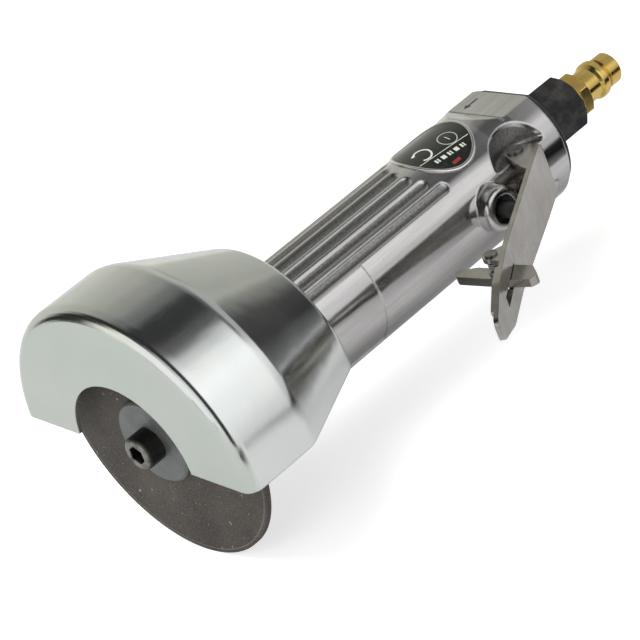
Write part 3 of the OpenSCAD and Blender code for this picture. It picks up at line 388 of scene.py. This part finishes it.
def abrasive():
    """Resin bonded grit, with pale grains, a woven net under the skin and a paler rim."""
    made, tree, shader = new_material("abrasive", Metallic=0.0, Specular_IOR_Level=0.35)
    where = place(tree)
    _, y, z = axes(tree, where)
    grit = node(tree, "TexVoronoi", {"Vector": where, "Scale": 1500.0}, feature="F1")
    grain = spread(tree, grit.outputs["Distance"], 0.5, 0.1)
    cloud = noise(tree, where, scale=70, detail=5, roughness=0.65)
    fleck = spread(tree, noise(tree, where, scale=520, detail=3, roughness=0.75), 0.66, 0.74)
    dust = spread(tree, noise(tree, where, scale=240, detail=4, roughness=0.7), 0.64, 0.76)
    threads = [maths(tree, "SINE", times(tree, way, NET_THREADS)) for way in (y, z)]
    net = times(tree, *threads)
    from_rim = maths(tree, "ABSOLUTE", minus(tree, reach_from_axis(tree), DISC_RIM_R))
    rim = spread(tree, from_rim, 0.35 * MM, 0.05 * MM)
    tone = mottled(tree, cloud, (0.056, 0.048, 0.042), (0.104, 0.092, 0.080), high=0.68)
    tone = overlaid(tree, tone, grain, 0.35, (0.20, 0.18, 0.165))
    tone = overlaid(tree, tone, dust, 0.3, (0.30, 0.28, 0.26))
    tone = overlaid(tree, tone, fleck, 0.8, (0.62, 0.60, 0.57))
    tone = overlaid(tree, tone, rim, 0.35, (0.33, 0.31, 0.29))
    rough = roughness_by(tree, cloud, smooth=0.55, rough=0.75)
    height = summed(tree, (grain, 1.0), (fleck, 1.2), (net, 0.35), (rim, -0.8))
    coat(tree, shader, tone, rough, height, depth=0.05 * MM, edge=0.2 * MM)
    return made


def black_cast():
    made, tree, shader = new_material("black_cast", Metallic=0.0, Specular_IOR_Level=0.5)
    cloud = noise(tree, place(tree), scale=180, detail=4)
    grain = noise(tree, place(tree), scale=1300, detail=2)
    tone = mottled(tree, cloud, dark=(0.016, 0.016, 0.017), light=(0.034, 0.034, 0.035))
    rough = roughness_by(tree, cloud, smooth=0.38, rough=0.52)
    coat(tree, shader, tone, rough, grain, depth=0.02 * MM, edge=0.3 * MM)
    return made


def seal_rubber():
    made, tree, shader = new_material("seal_rubber", Metallic=0.0, Specular_IOR_Level=0.4)
    cloud = noise(tree, place(tree), scale=200, detail=4)
    grain = noise(tree, place(tree), scale=1500, detail=2, roughness=0.5)
    tone = mixed(tree, cloud, (0.012, 0.012, 0.012), (0.028, 0.028, 0.028))
    rough = roughness_by(tree, cloud, smooth=0.55, rough=0.7)
    coat(tree, shader, tone, rough, grain, depth=0.01 * MM)
    return made


def vane_resin():
    made, tree, shader = new_material("vane_resin", Metallic=0.0)
    weave = noise(tree, place(tree, (0.2, 1, 1)), scale=1200, detail=3)
    tone = mixed(tree, weave, (0.20, 0.11, 0.05), (0.36, 0.22, 0.11))
    rough = roughness_by(tree, weave, smooth=0.45, rough=0.6)
    coat(tree, shader, tone, rough, weave, depth=0.01 * MM)
    return made


def felt():
    made, tree, shader = new_material("felt", Metallic=0.0, Sheen_Weight=0.3)
    fibre = noise(tree, place(tree), scale=1500, detail=5, roughness=0.75)
    tone = mixed(tree, fibre, (0.16, 0.15, 0.13), (0.36, 0.34, 0.30))
    rough = roughness_by(tree, fibre, smooth=0.85, rough=0.95)
    coat(tree, shader, tone, rough, fibre, depth=0.08 * MM)
    return made


# Marks on the label, as places along the tool and across it from the label's centre. Half is half of a
# line's or a patch's width, and a pair of shares says where a mark fades in, on the label's oval.
LABEL_RIM_SHARES = (0.925, 0.935)
RULE_ACROSS = -5.4 * MM
RULE_SLOPE = -0.09
RULE_HALF = 0.09 * MM
RULE_END_SHARES = (0.90, 0.88)
RING_AT = (4.1 * MM, -2.7 * MM)
RING_R = 2.8 * MM
RING_HALF = 0.12 * MM
RING_STRENGTH = 0.7
TICK_HALVES = (0.1 * MM, 1.1 * MM)
ARROW_AT = (-5.4 * MM, -1.8 * MM)
ARROW_R = 2.6 * MM
ARROW_HALF = 0.26 * MM
ARROW_OPEN_ANGLES = (2.35, 2.25)
# The arrow's head: its place as a share of the arrow's radius, its flattening and its soft edge
ARROW_HEAD_SHARE = 0.72
ARROW_HEAD_FLATTENING = 1.6
ARROW_HEAD_REACH = (0.75 * MM, 0.6 * MM)
BARS_ALONG_MM = (-5.0, -2.6, -0.2, 2.2, 4.6)
BARS_ACROSS = -7.3 * MM
BAR_HALVES = (0.72 * MM, 0.62 * MM)
# Every other bar has a dark notch, a little to one side of its middle
NOTCH_SHIFT_MM = 0.1
NOTCH_HALF = 0.16 * MM
PATCH_AT = (-1.0 * MM, -10.0 * MM)
PATCH_HALVES = (1.5 * MM, 0.42 * MM)
# Where a mark's edge fades in, measured outwards from the edge
MARK_FADE = (0.05 * MM, -0.02 * MM)


def label_middle():
    """The middle of the label along X, and half of its length."""
    low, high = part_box("label_plate")
    return (low.x + high.x) / 2, (high.x - low.x) / 2


def line(tree, value, at, half):
    """1 where the value is within half of at, with a soft edge."""
    gap = maths(tree, "ABSOLUTE", minus(tree, value, at))
    return spread(tree, gap, half + MARK_FADE[0], half + MARK_FADE[1])


def label_marks(tree, along, across, oval):
    """A thin line, a ring with a tick, a turn arrow and plain bars."""

    def box(at, halves):
        return times(tree, line(tree, along, at[0], halves[0]), line(tree, across, at[1], halves[1]))

    def way_from(at_along, at_across):
        return minus(tree, along, at_along), minus(tree, across, at_across)

    sloped = minus(tree, across, times(tree, along, RULE_SLOPE))
    rule = line(tree, sloped, RULE_ACROSS, RULE_HALF)
    rule = times(tree, rule, spread(tree, oval, *RULE_END_SHARES))

    ring = line(tree, distance(tree, *way_from(*RING_AT)), RING_R, RING_HALF)
    tick = box(RING_AT, TICK_HALVES)

    u, v = way_from(*ARROW_AT)
    angle = maths(tree, "ABSOLUTE", maths(tree, "ARCTAN2", v, u))
    turn = line(tree, distance(tree, u, v), ARROW_R, ARROW_HALF)
    turn = times(tree, turn, spread(tree, angle, *ARROW_OPEN_ANGLES))
    head_shift = ARROW_HEAD_SHARE * ARROW_R
    u, v = way_from(ARROW_AT[0] - head_shift, ARROW_AT[1] + head_shift)
    head = distance(tree, u, times(tree, v, ARROW_HEAD_FLATTENING))
    head = spread(tree, head, *ARROW_HEAD_REACH)

    stripes = highest(tree, *[line(tree, along, at * MM, BAR_HALVES[0]) for at in BARS_ALONG_MM])
    notches = highest(tree, *[
        line(tree, along, (at + NOTCH_SHIFT_MM) * MM, NOTCH_HALF) for at in BARS_ALONG_MM[::2]
    ])
    bars = times(tree, line(tree, sloped, BARS_ACROSS, BAR_HALVES[1]), stripes)
    bars = times(tree, bars, minus(tree, 1.0, notches))

    marks = highest(tree, rule, tick, times(tree, ring, RING_STRENGTH), turn, head, bars)
    return marks, box(PATCH_AT, PATCH_HALVES)


def label():
    """Gloss black with a silver rim and plain marks, and no lettering."""
    made, tree, shader = new_material("label", Coat_Weight=0.25, Coat_Roughness=0.1)
    middle, half_length = label_middle()
    x, across, _ = axes(tree, place(tree, turn=(-LABEL_TURN, 0, 0)))
    along = minus(tree, x, middle)
    oval = distance(tree, times(tree, along, 1 / half_length), times(tree, across, 2 / LABEL_WIDTH))
    rim = spread(tree, oval, *LABEL_RIM_SHARES)
    marks, patch = label_marks(tree, along, across, oval)
    cloud = noise(tree, place(tree), scale=200, detail=4)
    dust = noise(tree, place(tree, (0.5, 1, 1)), scale=900, detail=3, roughness=0.7)
    tone = mixed(tree, cloud, (0.006, 0.007, 0.006), (0.014, 0.017, 0.013))
    tone = overlaid(tree, tone, spread(tree, dust, 0.60, 0.75), 0.1, (0.30, 0.31, 0.27))
    tone = mixed(tree, marks, tone, (0.66, 0.69, 0.60))
    tone = mixed(tree, patch, tone, (0.30, 0.035, 0.03))
    tone = mixed(tree, rim, tone, (0.86, 0.86, 0.83))
    rough = roughness_by(tree, cloud, smooth=0.16, rough=0.28)
    coat(tree, shader, tone, rough, summed(tree, (cloud, 0.3), (marks, 1.0)), depth=0.012 * MM)
    connect(tree, shader, Metallic=rim)
    return made


# The label's section from its outside to its sunk face, as a share of the oval and a height in mm over
# the barrel, and the rings that the face is cut into
LABEL_SECTION = [
    (1.0, 0.0), (1.0, 0.30), (0.996, 0.42), (0.988, 0.485), (0.978, 0.5), (0.962, 0.5),
    (0.950, 0.485), (0.940, 0.43), (0.932, 0.34), (0.928, 0.27), (0.918, 0.25),
]
LABEL_FACE_MM = 0.25
LABEL_FACE_SHARES = [i / 8 for i in range(6, 0, -1)]
LABEL_STEPS = 128


def add_label(finish):
    """The label as a plate that follows the barrel, with a raised silver rim round a sunk face."""
    middle, half_length = label_middle()
    section = LABEL_SECTION + [(share, LABEL_FACE_MM) for share in LABEL_FACE_SHARES]
    points = []
    for share, lift in section:
        reach = LABEL_INNER_R + lift * MM
        for i in range(LABEL_STEPS):
            a = 2 * math.pi * i / LABEL_STEPS
            y = share * LABEL_WIDTH / 2 * math.sin(a)
            z = math.sqrt(reach * reach - y * y)
            points.append((middle + share * half_length * math.cos(a), y, z))
    faces = [face for k in range(len(section) - 1) for face in band(k, LABEL_STEPS)]
    faces.append(tuple(range((len(section) - 1) * LABEL_STEPS, len(section) * LABEL_STEPS)))
    faces.append(tuple(range(LABEL_STEPS - 1, -1, -1)))
    turn = Matrix.Rotation(LABEL_TURN, 4, "X")
    plate = add_mesh("label_face", [turn @ Vector(p) for p in points], faces)
    plate.data.materials.append(finish)
    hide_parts("label_plate")
    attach(plate, "housing")


def dress(finishes, own):
    """Gives each CAD node the finish of its material slot, or its own."""
    slots = {row["node"]: row["material_slot"] for row in frame["record"]["subparts"]}
    for name, shown in frame["nodes"].items():
        finish = own.get(name, finishes[slots[name]])
        if not shown.material_slots:
            shown.data.materials.append(finish)
        for slot in shown.material_slots:
            slot.material = finish


def band(k, steps):
    """The faces between ring k and the next one, of rings with the given number of points."""
    first, second = k * steps, (k + 1) * steps
    sides = [(i, (i + 1) % steps) for i in range(steps)]
    return [(first + i, first + j, second + j, second + i) for i, j in sides]


def add_mesh(name, points, faces, smooth=True):
    """A mesh object at the origin."""
    data = bpy.data.meshes.new(name)
    data.from_pydata(points, [], faces)
    for face in data.polygons:
        face.use_smooth = smooth
    made = bpy.data.objects.new(name, data)
    bpy.context.scene.collection.objects.link(made)
    return made


# The arrow on the head's flat: its tip and tail along X, its middle along Y, its head's length and half
# width, its shaft's half width, its groove's depth, and how far it stands above the flat
HEAD_ARROW_X = (147.6 * MM, 153.6 * MM)
HEAD_ARROW_Y = 6.2 * MM
HEAD_ARROW_HEAD = (2.0 * MM, 1.2 * MM)
HEAD_ARROW_SHAFT_HALF = 0.35 * MM
HEAD_ARROW_SUNK = 0.1 * MM
HEAD_ARROW_LIFT = 0.012 * MM


def add_arrow(finish):
    """An arrow without words on the head's flat, as a thin dark plate that is let into it."""
    tip, tail = HEAD_ARROW_X
    head_length, head_half = HEAD_ARROW_HEAD
    neck, half = tip + head_length, HEAD_ARROW_SHAFT_HALF
    outline = [
        (tip, 0.0), (neck, -head_half), (neck, -half), (tail, -half),
        (tail, half), (neck, half), (neck, head_half),
    ]
    heights = (HEAD_FLAT_Z + HEAD_ARROW_LIFT, HEAD_FLAT_Z - HEAD_ARROW_SUNK)
    points = [(x, HEAD_ARROW_Y + y, z) for z in heights for x, y in outline]
    count = len(outline)
    faces = [tuple(range(count)), tuple(range(2 * count - 1, count - 1, -1))]
    faces += [(i, count + i, count + (i + 1) % count, (i + 1) % count) for i in range(count)]
    arrow = add_mesh("head_arrow", points, faces, smooth=False)
    arrow.data.materials.append(finish)
    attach(arrow, "housing")


# Studio. What the tool reflects is set apart from what lights it: a floor, a dark card and a tent round
# the spindle's axis are seen in its metal, and the camera sees only the floor and a white world.
FLOOR_HALF = 3.0
FLOOR_GAP = 0.1 * MM
FLOOR_TONE = (0.66, 0.66, 0.66)
# Extra brightness of the floor, as the camera sees it
FLOOR_LIFT = 0.62
# The floor in front of the disc, as the guard's face mirrors it, darker there as painted shade that only
# reflections show, and where it fades in along X
PAINTED_FRONT_SHADE = (0.53, 0.55, 0.52)
PAINTED_FRONT_SHADE_FADE_X = (0.02, -0.03)
# The dark hoop of the tent goes on over the floor, from the first pair of X to the second, beyond Y
STRIPE_FADE_X = ((0.01, -0.03), (-0.14, -0.11))
STRIPE_FADE_Y = (-0.15, -0.19)
# A dark card on the lever's side, as X and Y limits, and the width of its soft end
CARD_X = (0.10, 0.75)
CARD_Y = (-0.42, -0.060)
CARD_FADE = 0.12
CARD_LIFT = 0.2 * MM
CARD_TONE = (0.012, 0.011, 0.011)
TENT_R = 0.5
TENT_X = (-0.9, 1.3)
TENT_STEPS = 96
# Brightness of the tent by the angle in degrees from straight up, towards the lever's side. It is first
# that over the guard, and then passes to the next ones along X.
TENT_AT_GUARD = [
    (-180, 0.70), (-100, 0.66), (-75, 0.62), (-59, 0.52), (-43, 0.44), (-27, 0.32), (-12, 0.17),
    (-2, 0.04), (10, 0.04), (22, 0.12), (32, 0.70), (40, 1.05), (53, 1.20), (72, 1.05), (95, 0.75),
    (120, 0.55), (180, 0.70),
]
TENT_AT_BARREL = [
    (-180, 0.60), (-107, 0.95), (-90, 0.80), (-75, 0.66), (-59, 0.58), (-43, 0.56), (-27, 0.50),
    (-12, 0.27), (0, 0.13), (36, 0.12), (44, 0.55), (52, 1.0), (68, 0.95), (80, 0.75), (92, 0.62),
    (120, 0.40), (180, 0.60),
]
# Behind the barrel, where the brass and the guard's cone look
TENT_AT_INLET = [
    (-180, 0.60), (-100, 0.72), (-85, 0.55), (-62, 0.48), (-48, 0.42), (-30, 0.48), (0, 0.42),
    (30, 0.45), (60, 0.90), (95, 0.60), (120, 0.40), (180, 0.60),
]
TENT_AT_END = [
    (-180, 0.40), (-60, 0.45), (-31, 0.24), (-6, 0.054), (40, 0.036), (70, 0.10), (99, 0.19), (180, 0.40),
]
BARREL_FADE_X = (0.27, 0.40)
INLET_FADE_X = (0.47, 0.53)
END_FADE_X = (1.15, 1.29)
# In front of the disc stands a dark hoop, and ahead of it a bright one
HOOP_DARK = (0.03, 0.03, 0.03)
HOOP_BRIGHT = (0.95, 0.95, 0.95)
HOOP_DARK_FADE_X = (-0.10, -0.20)
HOOP_BRIGHT_FADE_X = (-0.42, -0.55)
# A warmer side, by its middle as a share of the way round and by the shares where it fades
WARM_TONE = (1.0, 1.0, 0.90)
WARM_MIDDLE = 0.33
WARM_FADE = (0.16, 0.08)
# Brightness of the world for diffuse light
WORLD_FILL = 0.55
# Soft boxes that reflections don't see, as place, size and power
LAMPS = {
    "top_box": ((-0.15, 0.25, 1.1), 0.9, 9),
    "left_box": ((-0.9, -0.5, 0.7), 0.7, 5),
}
LAMP_AIM = (0.09, 0, 0)


def show_in_mirrors_only(thing):
    """Hides an object from all rays but the glossy ones."""
    for key in ("camera", "diffuse", "shadow", "transmission", "volume_scatter"):
        setattr(thing, "visible_" + key, False)


def add_sheet(name, xs, ys, height):
    """A level sheet between two X and two Y limits."""
    (left, right), (near, far) = xs, ys
    corners = [(left, near), (right, near), (right, far), (left, far)]
    return add_mesh(name, [(x, y, height) for x, y in corners], [(0, 1, 2, 3)], smooth=False)


def floor_material():
    """A pale floor, lifted to white for the camera, with darker stretches that only mirrors show, one of
    them painted shade in front of the disc.
    """
    made, tree, shader = new_material("floor", Roughness=0.9, Specular_IOR_Level=0.1)
    shader.inputs["Emission Color"].default_value = (1, 1, 1, 1)
    rays = node(tree, "LightPath").outputs
    mirrored = rays["Is Glossy Ray"]
    x, y, _ = axes(tree)
    stripe = times(tree, *[spread(tree, x, *fade) for fade in STRIPE_FADE_X])
    stripe = times(tree, stripe, spread(tree, y, *STRIPE_FADE_Y))
    # Painted shade: the floor in front of the disc is darker, for glossy rays only
    painted_front_shade = times(tree, mirrored, spread(tree, x, *PAINTED_FRONT_SHADE_FADE_X))
    tone = mixed(tree, painted_front_shade, FLOOR_TONE, PAINTED_FRONT_SHADE)
    tone = mixed(tree, times(tree, mirrored, stripe), tone, HOOP_DARK)
    lift = times(tree, rays["Is Camera Ray"], FLOOR_LIFT)
    connect(tree, shader, Base_Color=tone, Emission_Strength=lift)
    return made


def add_floor(height):
    floor = add_sheet("floor", (-FLOOR_HALF, FLOOR_HALF), (-FLOOR_HALF, FLOOR_HALF), height)
    floor.data.materials.append(floor_material())


def add_card(height):
    """Gives the barrel the dark streak of its reflection."""
    card = add_sheet("card", CARD_X, CARD_Y, height)
    made, tree, shader = new_material("card", Roughness=1.0, Specular_IOR_Level=0.0)
    x, y, _ = axes(tree)
    solid = times(
        tree,
        spread(tree, x, CARD_X[0], CARD_X[0] + CARD_FADE),
        spread(tree, y, CARD_Y[0], CARD_Y[0] + CARD_FADE),
    )
    connect(tree, shader, Base_Color=mixed(tree, solid, FLOOR_TONE, CARD_TONE))
    card.data.materials.append(made)
    show_in_mirrors_only(card)


def tent_material():
    """Soft boxes and black cards round the spindle's axis, as one glowing tent."""
    made = bpy.data.materials.new("tent")
    made.use_nodes = True
    tree = made.node_tree
    tree.nodes.clear()
    x, y, z = axes(tree)
    angle = maths(tree, "ARCTAN2", times(tree, y, -1.0), z)
    share = spread(tree, angle, -math.pi, math.pi)

    def shades(levels):
        return ramp(tree, share, [((a + 180) / 360, level) for a, level in levels])

    glow = shades(TENT_AT_GUARD)
    for fade, shade in (
        (BARREL_FADE_X, shades(TENT_AT_BARREL)),
        (INLET_FADE_X, shades(TENT_AT_INLET)),
        (END_FADE_X, shades(TENT_AT_END)),
        (HOOP_DARK_FADE_X, HOOP_DARK),
        (HOOP_BRIGHT_FADE_X, HOOP_BRIGHT),
    ):
        glow = mixed(tree, spread(tree, x, *fade), glow, shade)
    from_warm = maths(tree, "ABSOLUTE", minus(tree, share, WARM_MIDDLE))
    glow = mixed(tree, spread(tree, from_warm, *WARM_FADE), glow, WARM_TONE, "MULTIPLY")
    lamp = node(tree, "Emission", {0: glow, 1: 1.0})
    out = node(tree, "OutputMaterial")
    tree.links.new(lamp.outputs[0], out.inputs[0])
    return made


def add_tent():
    """A tube round the X axis that only reflections see, closed at the rear."""
    angles = [2 * math.pi * i / TENT_STEPS for i in range(TENT_STEPS)]
    points = [(x, -TENT_R * math.sin(a), TENT_R * math.cos(a)) for x in TENT_X for a in angles]
    faces = band(0, TENT_STEPS) + [tuple(range(TENT_STEPS, 2 * TENT_STEPS))]
    tent = add_mesh("tent", points, faces, smooth=False)
    tent.data.materials.append(tent_material())
    show_in_mirrors_only(tent)


def put(name, data, at, turn):
    """An object at a place, turned by a quaternion."""
    made = bpy.data.objects.new(name, data)
    bpy.context.scene.collection.objects.link(made)
    made.location = at
    made.rotation_mode = "QUATERNION"
    made.rotation_quaternion = turn
    return made


def add_lamp(name, at, size, power):
    """A square soft box that reflections don't see."""
    data = bpy.data.lights.new(name, "AREA")
    data.size = size
    data.energy = power
    made = put(name, data, at, (Vector(LAMP_AIM) - Vector(at)).to_track_quat("-Z", "Y"))
    made.visible_camera = False
    made.visible_glossy = False


def add_world():
    """A white background, with a softer fill for diffuse light."""
    world = bpy.data.worlds.new("studio")
    bpy.context.scene.world = world
    world.use_nodes = True
    tree = world.node_tree
    tree.nodes.clear()
    rays = node(tree, "LightPath").outputs
    seen = highest(tree, *[rays[f"Is {kind} Ray"] for kind in ("Camera", "Glossy", "Transmission")])
    back = node(tree, "Background", {0: (1, 1, 1, 1), 1: spread(tree, seen, 0, 1, WORLD_FILL, 1.0)})
    out = node(tree, "OutputWorld")
    tree.links.new(back.outputs[0], out.inputs[0])


def add_camera():
    data = bpy.data.cameras.new("camera")
    data.lens = LENS_MM
    data.sensor_width = SENSOR_MM
    data.clip_start, data.clip_end = CLIP
    bpy.context.scene.camera = put("camera", data, CAMERA_PLACE, Quaternion(CAMERA_TURN))


# Each finish is named as the material slot that it goes on
finishes = {
    make.__name__: make() for make in (
        zinc_plate, polished_aluminium, nickel_steel, black_steel, grey_steel, bearing_steel,
        spring_steel, brass, abrasive, label, black_cast, seal_rubber, vane_resin, felt,
    )
}
rivets = rivet_steel()
dress(finishes, {"disc_screw": screw_steel(), "lever_pin": rivets, "catch_pin": rivets})
add_label(finishes["label"])
add_arrow(finishes["black_cast"])

floor_height = cad_box[0].z - FLOOR_GAP
add_floor(floor_height)
add_card(floor_height + CARD_LIFT)
add_tent()
for lamp_name, (at, size, power) in LAMPS.items():
    add_lamp(lamp_name, at, size, power)
add_world()
add_camera()
bpy.context.scene.view_settings.view_transform = "Standard"
